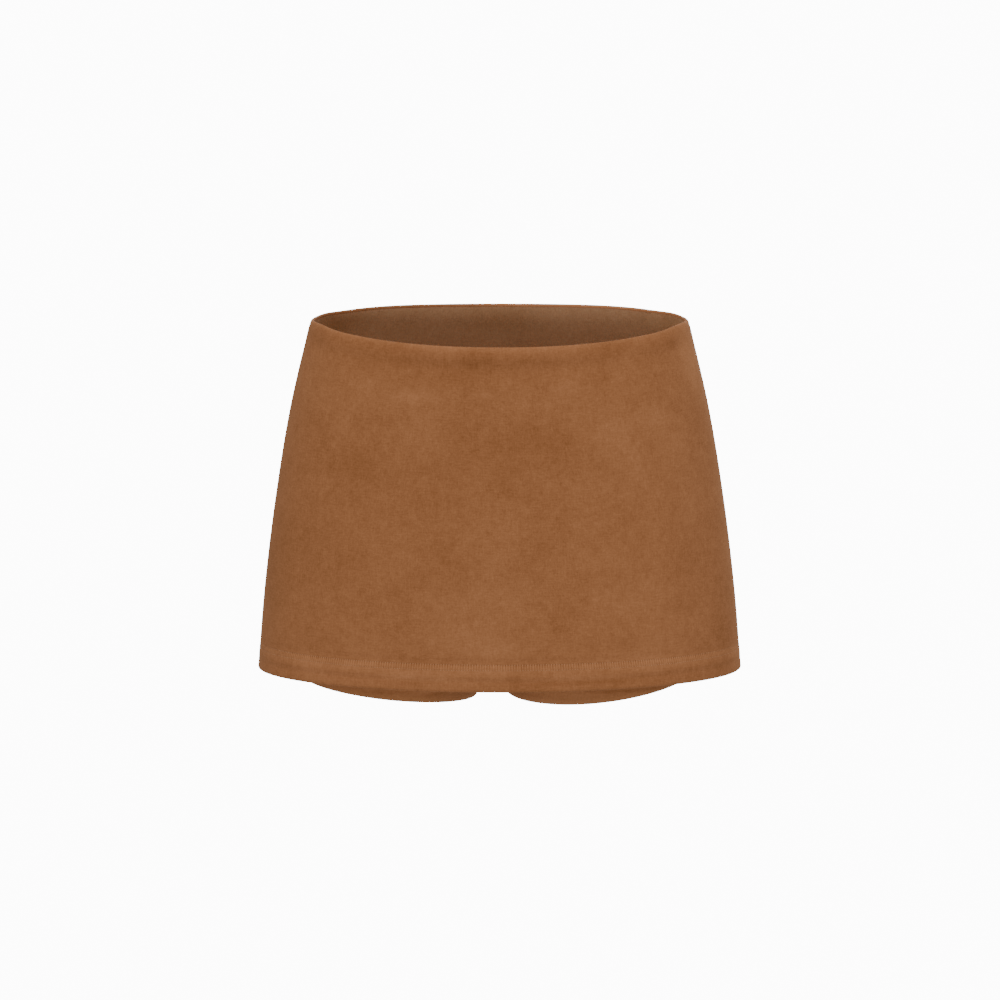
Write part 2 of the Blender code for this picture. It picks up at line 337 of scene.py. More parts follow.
def panel_section(heading, rolled, seam, free_edge):
    """Drop, height and share of the relief for every row and column of a skirt panel. Its top is rolled
    over where rolled is 1, and lies flat under the other panel where it is 0. The last two are how far
    each column is from the seam and from the free edge."""
    top, below_roll = waist_edge(heading), waist_edge(heading) + ROLL_RADIUS
    hem_radius = between(HEM_END_RADIUS, FOLD_RADIUS, smooth(free_edge / HEM_END))
    drops, heights, reliefs = [], [], []
    for stretch, at in SKIRT_ROWS:
        height, relief, facing = 0 * heading, 1.0, 1.0
        if stretch == "tail":
            tail = ROLL_TAIL * (1 - at)
            flat = top + UNDER_LAP_TOP - math.pi * ROLL_RADIUS - tail
            drop = between(flat, below_roll + tail, rolled)
            height, relief = -2 * ROLL_RADIUS * rolled, 0.0
        elif stretch == "roll":
            bend = math.pi * at
            over = below_roll - ROLL_RADIUS * math.sin(bend)
            drop = between(top + UNDER_LAP_TOP - ROLL_RADIUS * bend, over, rolled)
            height, relief = -ROLL_RADIUS * (1 - math.cos(bend)) * rolled, (1 + math.cos(bend)) / 2
        elif stretch == "below":
            flat = between(top + UNDER_LAP_TOP, below_roll + TOP_ZONE, at / TOP_ZONE)
            drop = between(flat, below_roll + at, rolled)
        elif stretch == "middle":
            drop = between(below_roll + TOP_ZONE, SKIRT_HEM - HEM_ZONE, at)
        elif stretch == "above":
            drop = SKIRT_HEM - at + 0 * heading
        else:
            down, height, facing = turned_hem(stretch, at, hem_radius, SKIRT_TURN)
            drop = SKIRT_HEM + down
        pressed = smooth((drop - PRESSED_TO) / PRESSED_TO)
        drops.append(drop)
        heights.append(height - seam_sink(seam, drop) - facing * edge_rounding(free_edge) * pressed)
        reliefs.append(relief + 0 * heading)
    return np.array(drops), np.array(heights), np.array(reliefs)


def lay_cloth(name, points, marks):
    """A flat grid laid row by row on its points, with a flat map in metres and its marks."""
    rows, columns = points.shape[:2]
    bpy.ops.object.select_all(action="DESELECT")
    bpy.ops.mesh.primitive_grid_add(x_subdivisions=columns - 1, y_subdivisions=rows - 1, size=1)
    cloth = bpy.context.object
    cloth.name = cloth.data.name = name
    mesh = cloth.data
    flat = np.zeros(len(mesh.vertices) * 3)
    mesh.vertices.foreach_get("co", flat)
    flat = flat.reshape(-1, 3)
    column = np.rint((flat[:, 0] + 0.5) * (columns - 1)).astype(int)
    row = np.rint((0.5 - flat[:, 1]) * (rows - 1)).astype(int)
    mesh.vertices.foreach_set("co", points[row, column].ravel())

    across = run_lengths(points[rows // 2])
    down = np.append(0, np.cumsum(np.linalg.norm(np.diff(points, axis=0), axis=-1).mean(axis=1)))
    corner = np.zeros(len(mesh.loops), int)
    mesh.loops.foreach_get("vertex_index", corner)
    mapped = np.stack((across[column[corner]], -down[row[corner]]), axis=-1)
    mesh.uv_layers.active.name = "cloth"
    mesh.uv_layers["cloth"].data.foreach_set("uv", mapped.ravel())
    for mark, values in marks.items():
        attribute = mesh.attributes.new(mark, "FLOAT", "POINT")
        attribute.data.foreach_set("value", values[row, column].ravel())
    mesh.update()
    return cloth


def thicken(cloth, outside, inside):
    """Faces a laid cloth outwards and gives it its wall, with its own finish on each side."""
    if sum(face.area * face.normal.xy.dot(face.center.xy) for face in cloth.data.polygons) < 0:
        cloth.data.flip_normals()
    cloth.data.materials.append(outside)
    cloth.data.materials.append(inside)
    wall = cloth.modifiers.new("wall", "SOLIDIFY")
    wall.thickness = WALL
    wall.offset = -1
    wall.material_offset = 1
    bpy.context.view_layer.objects.active = cloth
    bpy.ops.object.modifier_apply(modifier="wall")
    cloth.data.shade_smooth()
    cloth.data.set_sharp_from_angle(angle=math.radians(60))


# Patches of lighter and darker colour, from the waist down. Most are blotches in the nap's tone; the
# rest are painted light and shade, each marked where it stands
TonePatch = namedtuple("TonePatch", "heading drop spread reach shade")
LIGHTER_TONE_AND_PAINTED_LIGHT_IN_FRONT = (
    # painted highlight high on the wearer's left side, where it catches the light
    TonePatch(heading=349, drop=0.032, spread=0.018, reach=0.028, shade=1.8),
    TonePatch(heading=218, drop=0.044, spread=0.015, reach=0.009, shade=0.5),
    TonePatch(heading=300, drop=0.048, spread=0.012, reach=0.006, shade=0.5),
    TonePatch(heading=234, drop=0.057, spread=0.020, reach=0.006, shade=1.0),
    TonePatch(heading=292, drop=0.058, spread=0.011, reach=0.006, shade=0.4),
    TonePatch(heading=328, drop=0.075, spread=0.012, reach=0.011, shade=0.5),
    TonePatch(heading=314, drop=0.089, spread=0.028, reach=0.019, shade=0.6),
    TonePatch(heading=240, drop=0.090, spread=0.017, reach=0.014, shade=0.5),
    TonePatch(heading=320, drop=0.116, spread=0.019, reach=0.024, shade=0.8),
    TonePatch(heading=339, drop=0.144, spread=0.021, reach=0.050, shade=0.7),
    TonePatch(heading=265, drop=0.190, spread=0.010, reach=0.010, shade=0.4),
    TonePatch(heading=299, drop=0.191, spread=0.014, reach=0.011, shade=0.5),
    TonePatch(heading=324, drop=0.213, spread=0.020, reach=0.021, shade=0.5),
    TonePatch(heading=264, drop=0.216, spread=0.031, reach=0.023, shade=0.3),
    TonePatch(heading=306, drop=0.223, spread=0.020, reach=0.019, shade=0.5),
    TonePatch(heading=249, drop=0.224, spread=0.025, reach=0.017, shade=0.3),
    TonePatch(heading=274, drop=0.224, spread=0.012, reach=0.015, shade=0.7),
    TonePatch(heading=314, drop=0.233, spread=0.018, reach=0.016, shade=0.5),
    TonePatch(heading=218, drop=0.252, spread=0.020, reach=0.017, shade=0.7),
    TonePatch(heading=256, drop=0.257, spread=0.054, reach=0.012, shade=0.9),
    TonePatch(heading=275, drop=0.258, spread=0.018, reach=0.026, shade=0.2),
    TonePatch(heading=270, drop=0.265, spread=0.044, reach=0.006, shade=0.7),
    TonePatch(heading=317, drop=0.275, spread=0.034, reach=0.008, shade=0.9),
    # painted highlight on the hem's puffed band, in these last six rows
    TonePatch(heading=270, drop=0.283, spread=0.009, reach=0.011, shade=0.8),
    TonePatch(heading=209, drop=0.287, spread=0.016, reach=0.010, shade=1.3),
    TonePatch(heading=238, drop=0.287, spread=0.015, reach=0.004, shade=1.2),
    TonePatch(heading=299, drop=0.2888, spread=0.040, reach=0.0026, shade=1.2),
    TonePatch(heading=238, drop=0.2893, spread=0.040, reach=0.0026, shade=0.9),
    TonePatch(heading=253, drop=0.291, spread=0.019, reach=0.006, shade=1.2),
)
DARKER_TONE_AND_PAINTED_SHADE_IN_FRONT = (
    # painted shade at the far ends of the waist's rim, in the next three rows
    TonePatch(heading=192, drop=0.010, spread=0.030, reach=0.009, shade=-0.7),
    TonePatch(heading=221, drop=0.013, spread=0.022, reach=0.009, shade=-0.8),
    TonePatch(heading=319, drop=0.013, spread=0.018, reach=0.009, shade=-0.9),
    TonePatch(heading=341, drop=0.015, spread=0.007, reach=0.006, shade=-0.6),
    # painted shade in the dip under the waist's bead, in the next six rows
    TonePatch(heading=228, drop=0.027, spread=0.036, reach=0.005, shade=-0.4),
    TonePatch(heading=259, drop=0.027, spread=0.012, reach=0.005, shade=-0.5),
    TonePatch(heading=293, drop=0.028, spread=0.016, reach=0.005, shade=-0.6),
    TonePatch(heading=314, drop=0.028, spread=0.011, reach=0.005, shade=-0.5),
    TonePatch(heading=217, drop=0.036, spread=0.021, reach=0.010, shade=-0.6),
    TonePatch(heading=249, drop=0.037, spread=0.023, reach=0.011, shade=-0.9),
    TonePatch(heading=313, drop=0.040, spread=0.008, reach=0.006, shade=-0.4),
    TonePatch(heading=270, drop=0.087, spread=0.038, reach=0.019, shade=-0.6),
    TonePatch(heading=293, drop=0.098, spread=0.019, reach=0.017, shade=-0.8),
    TonePatch(heading=221, drop=0.108, spread=0.021, reach=0.012, shade=-0.6),
    TonePatch(heading=218, drop=0.122, spread=0.041, reach=0.011, shade=-0.6),
    TonePatch(heading=239, drop=0.179, spread=0.014, reach=0.010, shade=-0.4),
    TonePatch(heading=201, drop=0.181, spread=0.020, reach=0.026, shade=-0.4),
    TonePatch(heading=219, drop=0.194, spread=0.018, reach=0.017, shade=-0.3),
    TonePatch(heading=343, drop=0.198, spread=0.024, reach=0.055, shade=-0.35),
    TonePatch(heading=191, drop=0.203, spread=0.026, reach=0.030, shade=-0.9),
    TonePatch(heading=206, drop=0.215, spread=0.019, reach=0.010, shade=-0.8),
    TonePatch(heading=235, drop=0.221, spread=0.012, reach=0.008, shade=-0.4),
    TonePatch(heading=206, drop=0.236, spread=0.017, reach=0.009, shade=-0.3),
    TonePatch(heading=291, drop=0.242, spread=0.011, reach=0.011, shade=-0.5),
    TonePatch(heading=346, drop=0.261, spread=0.024, reach=0.026, shade=-0.8),
    # painted shade in the dip under the hem's puffed band, in these last two rows
    TonePatch(heading=297, drop=0.2929, spread=0.055, reach=0.0022, shade=-0.9),
    TonePatch(heading=247, drop=0.2932, spread=0.022, reach=0.0022, shade=-0.7),
)
TONE_PATCHES_BEHIND = (
    TonePatch(heading=118, drop=0.030, spread=0.020, reach=0.005, shade=-0.5),
    TonePatch(heading=75, drop=0.032, spread=0.040, reach=0.006, shade=-0.6),
    TonePatch(heading=120, drop=0.075, spread=0.026, reach=0.010, shade=0.7),
    TonePatch(heading=62, drop=0.090, spread=0.030, reach=0.020, shade=0.6),
    TonePatch(heading=96, drop=0.130, spread=0.040, reach=0.020, shade=-0.6),
    TonePatch(heading=150, drop=0.130, spread=0.020, reach=0.016, shade=0.4),
    TonePatch(heading=70, drop=0.160, spread=0.014, reach=0.012, shade=-0.4),
    TonePatch(heading=34, drop=0.170, spread=0.020, reach=0.034, shade=-0.5),
    TonePatch(heading=140, drop=0.180, spread=0.022, reach=0.034, shade=-0.7),
    TonePatch(heading=112, drop=0.205, spread=0.016, reach=0.012, shade=-0.4),
    TonePatch(heading=84, drop=0.215, spread=0.018, reach=0.018, shade=0.5),
    TonePatch(heading=165, drop=0.240, spread=0.020, reach=0.020, shade=-0.5),
    TonePatch(heading=45, drop=0.250, spread=0.020, reach=0.015, shade=0.5),
    TonePatch(heading=104, drop=0.250, spread=0.016, reach=0.012, shade=0.4),
)
TONE_AND_PAINTED_LIGHT_PATCHES = LIGHTER_TONE_AND_PAINTED_LIGHT_IN_FRONT + DARKER_TONE_AND_PAINTED_SHADE_IN_FRONT + TONE_PATCHES_BEHIND


def patch_tone_and_painted_light(patches, heading, drop):
    """How much lighter or darker the patches colour the cloth, about 0: the nap's tone with painted light
    and shade.
    """
    girth = np.hypot(*np.moveaxis(skirt_skin(heading, drop), -1, 0)[:2])
    upright = [Fold(*patch[:4], lean=0.0, height=patch.shade) for patch in patches]
    return fold_relief(upright, heading, drop, girth)


# A painted highlight along the waist's rolled edge, strongest on its inside behind
RIM_HIGHLIGHT_TO, RIM_HIGHLIGHT_OUTSIDE, RIM_HIGHLIGHT_INSIDE = 0.006, 0.8, 5.2
RIM_HIGHLIGHT_MIDDLE, RIM_HIGHLIGHT_SPREAD = 64.0, 50.0  # where round the waist its inside gets the painted highlight, in degrees


def painted_rim_highlight(heading, drop, height):
    """Painted highlight on the waist's rolled edge: how much lighter it is coloured, most of all inside
    and behind.
    """
    turn = (heading - RIM_HIGHLIGHT_MIDDLE + 180) % 360 - 180
    inside = smooth(-height / (2 * ROLL_RADIUS)) * hump(turn, RIM_HIGHLIGHT_SPREAD)
    near_edge = smooth(1 - (drop - waist_edge(heading)) / RIM_HIGHLIGHT_TO)
    return near_edge * (RIM_HIGHLIGHT_OUTSIDE + RIM_HIGHLIGHT_INSIDE * inside)


CLOTH_MARKS = ("nap", "above_hem", "stitches")  # what each laid cloth carries for its finish; the nap mark also carries painted light and shade


def hem_marks(nap, above_hem, length):
    """A piece's marks: its nap's tone with painted light and shade, its height above its hem and, from its
    length along it, its stitches.
    """
    stitches = np.broadcast_to(length / STITCH_PITCH, nap.shape)
    return dict(zip(CLOTH_MARKS, (nap, above_hem, stitches)))


class Signal:
    """A socket in a shader. Sums and products on it add the Math nodes that work them out."""

    def __init__(self, tree, socket=None):
        self.tree = tree
        self.socket = socket

    def node(self, kind, settings, sockets, output=0):
        """Adds a node: its settings, then the values or links of its sockets."""
        node = self.tree.nodes.new(kind)
        for name, value in settings.items():
            setattr(node, name, value)
        for name, value in sockets.items():
            if isinstance(value, Signal):
                self.tree.links.new(value.socket, node.inputs[name])
            else:
                node.inputs[name].default_value = value
        return Signal(self.tree, node.outputs[output])

    def math(self, operation, *values):
        return self.node("ShaderNodeMath", {"operation": operation}, dict(enumerate(values)))

    def __add__(self, other):
        return self.math("ADD", self, other)

    def __radd__(self, other):
        return self.math("ADD", other, self)

    def __sub__(self, other):
        return self.math("SUBTRACT", self, other)

    def __rsub__(self, other):
        return self.math("SUBTRACT", other, self)

    def __mul__(self, other):
        return self.math("MULTIPLY", self, other)

    def __rmul__(self, other):
        return self.math("MULTIPLY", other, self)

    def noise(self, scale, detail, stretch=(1.0, 1.0, 1.0)):
        """Noise on this vector, about 0, with its pattern drawn out along an axis if asked."""
        place = self.node("ShaderNodeMapping", {}, {"Vector": self, "Scale": stretch})
        sockets = {"Vector": place, "Scale": scale, "Detail": detail, "Roughness": 0.55}
        return self.node("ShaderNodeTexNoise", {}, sockets) - 0.5

    def rise(self, middle, ease):
        """0 below a value and 1 above it, eased over a little on both sides."""
        sockets = {"Value": self, "From Min": middle - ease, "From Max": middle + ease}
        return self.node("ShaderNodeMapRange", {"interpolation_type": "SMOOTHSTEP"}, sockets)

    def near(self, middle, reach):
        """1 at a value, falling to 0 on both sides."""
        return self.math("MAXIMUM", 1 - self.math("ABSOLUTE", self - middle) * (1 / reach), 0.0)

    def colour(self, dark, light, clamp=True):
        """The colour at this share of the way between two, or past them where it isn't clamped."""
        sockets = {0: self, 6: dark, 7: light}  # 0 is the factor, 6 and 7 the two colours
        return self.node("ShaderNodeMix", {"data_type": "RGBA", "clamp_factor": clamp}, sockets, 2)

    def feed(self, shader, name):
        """Links this to one of a shader's own sockets."""
        self.tree.links.new(self.socket, shader.inputs[name])


# The finish's patterns, in repeats to the metre. Strokes and weave are each drawn out two ways
CLOUDS, MOTTLES, GRAIN, STROKES, WEAVE = 22, 120, 620, 300, 760
STROKE_ACROSS, STROKE_DOWN = (1.0, 0.25, 1.0), (0.3, 1.0, 1.0)
WEAVE_ACROSS, WEAVE_DOWN = (1.0, 0.22, 1.0), (0.22, 1.0, 1.0)
RIB_EASE = 0.0008
HOLE_REACH = 0.0007
BAND_HIGHLIGHT_BELOW = 0.003  # how far under its lower row the painted highlight on the drawn-up band still reaches
SHEEN_TINT = (0.80, 0.42, 0.20, 1.0)


def suede_knit(name, dark, light, mottle, hem_lines):
    """Napped knit: clouds and mottles in the nap's tone over short strokes and a fine grain, with a low
    soft bump, and the nap mark, which holds tone patches and painted light and shade. Between the hem's
    two rows of stitches the cloth is drawn up into fine ribs, coloured lighter and darker along them as
    painted light and shade, with a painted highlight on the band; each needle leaves a small hole,
    darkened as painted shade. Mottle is how strongly the nap varies."""
    material = bpy.data.materials.new(name)
    material.use_nodes = True
    tree = material.node_tree
    graph = Signal(tree)
    shader = tree.nodes["Principled BSDF"]
    place = graph.node("ShaderNodeTexCoord", {}, {}, "Object")
    flat = graph.node("ShaderNodeUVMap", {"uv_map": "cloth"}, {})
    patch_tone_and_light, above_hem, stitches = (
        graph.node("ShaderNodeAttribute", {"attribute_name": mark}, {}, "Fac") for mark in CLOTH_MARKS
    )

    clouds = place.noise(CLOUDS, 3)
    mottles = place.noise(MOTTLES, 3)
    grain = place.noise(GRAIN, 2)
    strokes = flat.noise(STROKES, 1, STROKE_ACROSS) + flat.noise(STROKES, 1, STROKE_DOWN)
    weave = flat.noise(WEAVE, 2, WEAVE_ACROSS) + flat.noise(WEAVE, 2, WEAVE_DOWN)

    upper, lower = hem_lines
    comb = graph.math("COSINE", stitches * math.tau)
    under_upper = 1 - above_hem.rise(upper, RIB_EASE)
    fading = 0.4 + 0.6 * above_hem.rise((upper + lower) / 2, (upper - lower) / 2)
    ribs = comb * fading * above_hem.rise(lower, RIB_EASE) * under_upper
    # the needle holes are darkened in colour: painted shade
    holes = (1 - comb) * (above_hem.near(upper, HOLE_REACH) + 0.4 * above_hem.near(lower, HOLE_REACH))
    # a painted highlight on the puffed band between the hem's rows, and a little under it
    band_highlight = under_upper * above_hem.rise(lower - BAND_HIGHLIGHT_BELOW, BAND_HIGHLIGHT_BELOW)

    # the patches bring painted light and shade into the tone, and the ribs colour it lighter and darker as
    # painted light and shade
    tone = 0.5 + mottle * (0.32 * patch_tone_and_light + 0.7 * clouds + 0.65 * mottles + 0.2 * strokes)
    tone = tone + mottle * (0.8 * grain + 0.7 * weave) + 0.2 * band_highlight + 0.45 * ribs - 0.15 * holes
    tone.colour(dark, light, clamp=False).feed(shader, "Base Color")
    (0.93 - 0.1 * tone).feed(shader, "Roughness")
    height = 0.4 * mottles + 0.6 * grain + 0.6 * weave + 0.5 * ribs - 0.5 * holes
    bump = {"Strength": 0.35, "Distance": 0.0006, "Height": height}
    graph.node("ShaderNodeBump", {}, bump).feed(shader, "Normal")
    shader.inputs["Specular IOR Level"].default_value = 0.25
    shader.inputs["Sheen Weight"].default_value = 0.22
    shader.inputs["Sheen Roughness"].default_value = 0.5
    shader.inputs["Sheen Tint"].default_value = SHEEN_TINT
    return material


SUEDE_DARK, SUEDE_LIGHT = (0.295, 0.108, 0.035, 1.0), (0.465, 0.191, 0.077, 1.0)
# The inside's colours are lifted well above the face's: painted light, making up for the light inside the
# waist
INSIDE_DARK, INSIDE_LIGHT = (0.505, 0.268, 0.126, 1.0), (0.740, 0.454, 0.260, 1.0)
skirt_suede = suede_knit("skirt_suede_nap", SUEDE_DARK, SUEDE_LIGHT, 1.0, STITCH_LINES)
skirt_inside = suede_knit("skirt_suede_inside", INSIDE_DARK, INSIDE_LIGHT, 0.6, STITCH_LINES)


def skirt_panel(name, face, headings, rolled, from_seam, from_free_edge):
    """Lays a skirt panel on its face, with its marks, and thickens it."""
    drops, heights, reliefs = panel_section(headings, rolled, from_seam, from_free_edge)
    grid = np.broadcast_to(headings, drops.shape)
    # the nap mark: the patches' tone with their painted light and shade, and the painted highlight on the
    # rolled rim
    nap = patch_tone_and_painted_light(TONE_AND_PAINTED_LIGHT_PATCHES, grid, drops) + painted_rim_highlight(grid, drops, heights)
    upper_row = face(headings, SKIRT_HEM - STITCH_LINES[0] + 0 * headings, 0 * headings)
    marks = hem_marks(nap, SKIRT_HEM - drops, run_lengths(upper_row))
    panel = lay_cloth(name, face(grid, drops, heights, reliefs), marks)
    thicken(panel, skirt_suede, skirt_inside)
    return panel


METRES_EACH = 0.0030  # metres round the skirt for each degree, near its side edges
FRONT_COLUMNS = 230
seam = SEAM_GAP / 2 / METRES_EACH
headings = spaced_columns(SEAM_HEADING + seam, LAP_END, FRONT_COLUMNS, METRES_EACH)
from_seam = (headings - headings[0]) * METRES_EACH
from_free_edge = (headings[-1] - headings) * METRES_EACH
skirt_front = skirt_panel("skirt_front_cloth", front_face, headings, 1.0, from_seam, from_free_edge)
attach(skirt_front, "root")
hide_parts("skirt_front")

# ---------------------------------------------------------------- the skirt's back panel
# The narrower piece of the same knit. It is seamed to the front one behind the right side, and passes
# under it behind the left side, where it steps in to make room for it.

HEM_ROOM = 0.0018  # more room where the front panel's turned hem lies over it
HEM_ROOM_DROPS = (0.200, 0.260)
RIM_STEP = 0.0003  # what is left of its step in at the waist's edge, beside the lap
RIM_REACH = 0.020
BACK_COLUMNS = 200
lap_end = LAP_END - 360
under_lap = lap_end + np.array((-0.32, -0.22, -0.12, -0.02))  # where its top goes from flat to rolled


def past_lap(heading):
    """0 where the back panel is under the front one, and 1 where it is past its free edge."""
    return smooth((heading - under_lap[0]) / (under_lap[-1] - under_lap[0]))


def back_face(heading, drop, height=0.0, relief=1.0):
    """Points of the back panel's face, or at a height off it."""
    start, end = HEM_ROOM_DROPS
    step = LAP_DEPTH + HEM_ROOM * smooth((drop - start) / (end - start))
    beside = past_lap(heading) * (1 - smooth((drop - waist_edge(heading)) / RIM_REACH))
    step = between(step, RIM_STEP, beside) * smooth((lap_end + LAP_RAMP - heading) / LAP_RAMP)
    return stand_off(skirt_skin, heading, drop, height - step + relief * skirt_relief(heading, drop))


headings = spaced_columns(0.0, SEAM_HEADING - seam, BACK_COLUMNS, METRES_EACH, under_lap)
rolled = past_lap(headings)
from_seam = (headings[-1] - headings) * METRES_EACH
from_hidden_edge = (headings - headings[0]) * METRES_EACH
skirt_back = skirt_panel("skirt_back_cloth", back_face, headings, rolled, from_seam, from_hidden_edge)
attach(skirt_back, "root")
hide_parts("skirt_back")

# ---------------------------------------------------------------- the skirt's stitches
# Thread a little lighter than the knit. Two rows hold the turned hem all round, sunk in the nap, and one
# holds the front panel's free edge down its lap.

STITCH_LENGTH = 0.0012
THREAD_RADIUS = 0.00028
THREAD_DEPTH = THREAD_RADIUS * 0.2  # how far the thread's middle lies under the cloth's face
THREAD_DARK, THREAD_LIGHT = (0.44, 0.200, 0.090, 1.0), (0.64, 0.330, 0.165, 1.0)
TWIST = 900  # in repeats to the metre
LAP_STITCH_INSET = 0.008
LAP_STITCH_TOP, LAP_STITCH_FOOT = 0.008, 0.004  # below the waist's side points, and above the hem
FRONT_STATIONS, BACK_STATIONS, LAP_STATIONS = 700, 600, 300

thread = bpy.data.materials.new("thread")
thread.use_nodes = True
shader = thread.node_tree.nodes["Principled BSDF"]
twist = Signal(thread.node_tree).node("ShaderNodeTexCoord", {}, {}, "Object").noise(TWIST, 1)
(0.5 + 1.5 * twist).colour(THREAD_DARK, THREAD_LIGHT).feed(shader, "Base Color")
shader.inputs["Roughness"].default_value = 0.7

bpy.ops.object.select_all(action="DESELECT")
lying = (0.0, math.pi / 2, 0.0)
bpy.ops.mesh.primitive_uv_sphere_add(segments=6, ring_count=6, radius=1.0, rotation=lying)
stitch = bpy.context.object
bpy.ops.object.transform_apply(location=False, rotation=True, scale=False)
stitch.scale = (STITCH_LENGTH / 2, THREAD_RADIUS, THREAD_RADIUS)
bpy.ops.object.transform_apply(location=False, rotation=False, scale=True)
stitch.data.materials.append(thread)


def along_line(line, lengths, places):
    """Points at some places along a line whose lengths are known."""
    return np.stack([np.interp(places, lengths, axis) for axis in line.T], axis=-1)


def sew(name, lines):
    """Copies the stitch along lines on the cloth, each given with the same line a little off the cloth
    and the number of its stitches."""
    copies = []
    for line, off, count in lines:
        lengths = run_lengths(line)
        places = lengths[-1] * np.arange(1, int(count)) / count
        starts = along_line(line, lengths, places - STITCH_LENGTH / 2)
        ends = along_line(line, lengths, places + STITCH_LENGTH / 2)
        tops = along_line(off, lengths, places)
        for start, end, top in zip(starts, ends, tops):
            middle = Vector((start + end) / 2)
            along = Vector(end - start).normalized()
            out = Vector(top) - middle
            out = (out - along * out.dot(along)).normalized()
            copy = stitch.copy()
            copy.data = stitch.data.copy()
            turned = Matrix((along, out.cross(along), out)).transposed().to_4x4()
            copy.matrix_world = Matrix.Translation(middle) @ turned
            bpy.context.scene.collection.objects.link(copy)
            copies.append(copy)
    bpy.ops.object.select_all(action="DESELECT")
    for copy in copies:
        copy.select_set(True)
    bpy.context.view_layer.objects.active = copies[0]
    bpy.ops.object.join()
    row = bpy.context.object
    bpy.ops.object.transform_apply(location=True, rotation=True, scale=True)
    row.name = row.data.name = name
    row.data.shade_smooth()
    return row


def face_line(face, heading, drop, count=0):
    """A line of points on a panel's face, the same line a millimetre off it, and how many stitches it
    takes, if that isn't given."""
    heading, drop = np.broadcast_arrays(heading, drop)
    line, off = (face(heading, drop, height + 0 * drop) for height in (-THREAD_DEPTH, 0.001))
    return line, off, count or run_lengths(line)[-1] / STITCH_PITCH


def hem_rows(face, stations, hem, lines):
    """The rows of stitches along a hem, stitch under stitch."""
    first = face_line(face, stations, hem - lines[0])
    return [first] + [face_line(face, stations, hem - line, first[2]) for line in lines[1:]]


front_headings = np.linspace(SEAM_HEADING + seam, LAP_END, FRONT_STATIONS)
back_headings = np.linspace(0.0, SEAM_HEADING - seam, BACK_STATIONS)
lap_drops = np.linspace(LAP_STITCH_TOP, SKIRT_HEM - LAP_STITCH_FOOT, LAP_STATIONS)
lap_heading = LAP_END - LAP_STITCH_INSET / METRES_EACH
front_lines = hem_rows(front_face, front_headings, SKIRT_HEM, STITCH_LINES)
front_lines.append(face_line(front_face, lap_heading, lap_drops))
back_lines = hem_rows(back_face, back_headings, SKIRT_HEM, STITCH_LINES)
skirt_front_stitches = sew("skirt_front_stitches", front_lines)
skirt_back_stitches = sew("skirt_back_stitches", back_lines)
for row in (skirt_front_stitches, skirt_back_stitches):
    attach(row, "root")

# ---------------------------------------------------------------- the shorts
# Four pieces of the same knit, worn under the skirt and caught in its rolled waist. They are seamed at the
# sides, down the middle in front and behind, and inside each leg, and each leg's hem is turned up.

SHORTS_DEPTH = 0.0020  # how far their face lies under the skirt's at the waist
FORK_START, FORK = 0.160, 0.245  # drops between which the hips part into legs
LEG_REACH, LEG_DEPTH, LEG_CENTRE = 0.178, 0.1053, 0.005  # a leg's ring at the fork
LEG_TURN = 0.020
MIDDLE_LAP = 0.00003  # each half reaches this far past the middle, so that the centre seams are shut
MEETING_REACH, MEETING_EASE = 0.016, 0.030  # where the halves are eased out to meet at the fork
METRES_EACH_SHARE = 0.50  # metres round one half, near its seams
LEG_STITCH_LINES = (0.0188, 0.0142)
SHORTS_PRESSED_TO, SHORTS_SEAM_EASE = 0.045, 0.075  # the seams lie flat, and then begin to sink
LAP_FADE = 0.075  # how soon below the waist they no longer make room for the lap

Ease = namedtuple("Ease", "half_width front back")
SHORTS_EASE = (
    Ease(half_width=0.0000, front=0.0000, back=0.0000),
    Ease(half_width=0.0053, front=0.0040, back=0.0025),
    Ease(half_width=0.0137, front=0.0110, back=0.0080),
    Ease(half_width=0.0230, front=0.0220, back=0.0180),
    Ease(half_width=0.0300, front=0.0310, back=0.0240),
)
# A leg's hem runs from inner to outer off the middle, and curves up from the inside leg to the side
Leg = namedtuple("Leg", "side inner outer inseam_drop side_drop curve")
LEGS = {
    "right": Leg(side=-1, inner=0.0172, outer=0.1753, inseam_drop=0.3243, side_drop=0.3058, curve=0.80),
    "left": Leg(side=1, inner=0.0035, outer=0.1668, inseam_drop=0.3214, side_drop=0.3056, curve=1.65),
}
LEG_RELIEF = (
    Relief(distance=0.0000, height=0.0000),
    Relief(distance=0.0035, height=0.0005),
    Relief(distance=0.0080, height=0.0000),
    Relief(distance=0.0110, height=0.0006),
    Relief(distance=0.0188, height=-0.0004),
    Relief(distance=0.0260, height=0.0000),
)


def leg_heading(leg, share):
    """Heading of a share of the way round one half, from the centre front to the centre back."""
    return -90 + 180 * share if leg.side > 0 else 270 - 180 * share


def outward_share(share):
    """0 at the inside leg and 1 at the side, for a share of the way round."""
    return (1 - np.cos(math.tau * share)) / 2


def shorts_skin(leg):
    """The plain outer form of one half: above the fork half a ring round the hips, below it a ring round
    the leg, and between them a mix of the two, which turns the centre seams under."""

    def skin(share, drop):
        heading = leg_heading(leg, share)
        half_width, front, back, fullness = read_rings(SKIRT_RINGS, drop)
        ease_width, ease_front, ease_back = read_rings(SHORTS_EASE, drop - waist_edge(heading))
        hip_ring = (half_width - ease_width, front - ease_front, back - ease_back, fullness)
        hip = ring_point(hip_ring, heading, drop)
        down = smooth((drop - FORK) / (leg.inseam_drop - FORK))
        across = between(leg.inner * down, between(LEG_REACH, leg.outer, down), outward_share(share))
        along = LEG_CENTRE - LEG_DEPTH * np.sin(math.tau * share)
        thigh = np.stack((leg.side * across, along, -drop + 0 * share), axis=-1)
        fork = np.clip((drop - FORK_START) / (FORK - FORK_START), 0.0, 1.0)
        mix = 1 - np.sqrt(1 - fork * fork)
        return between(hip, thigh, mix[..., None])

    return skin


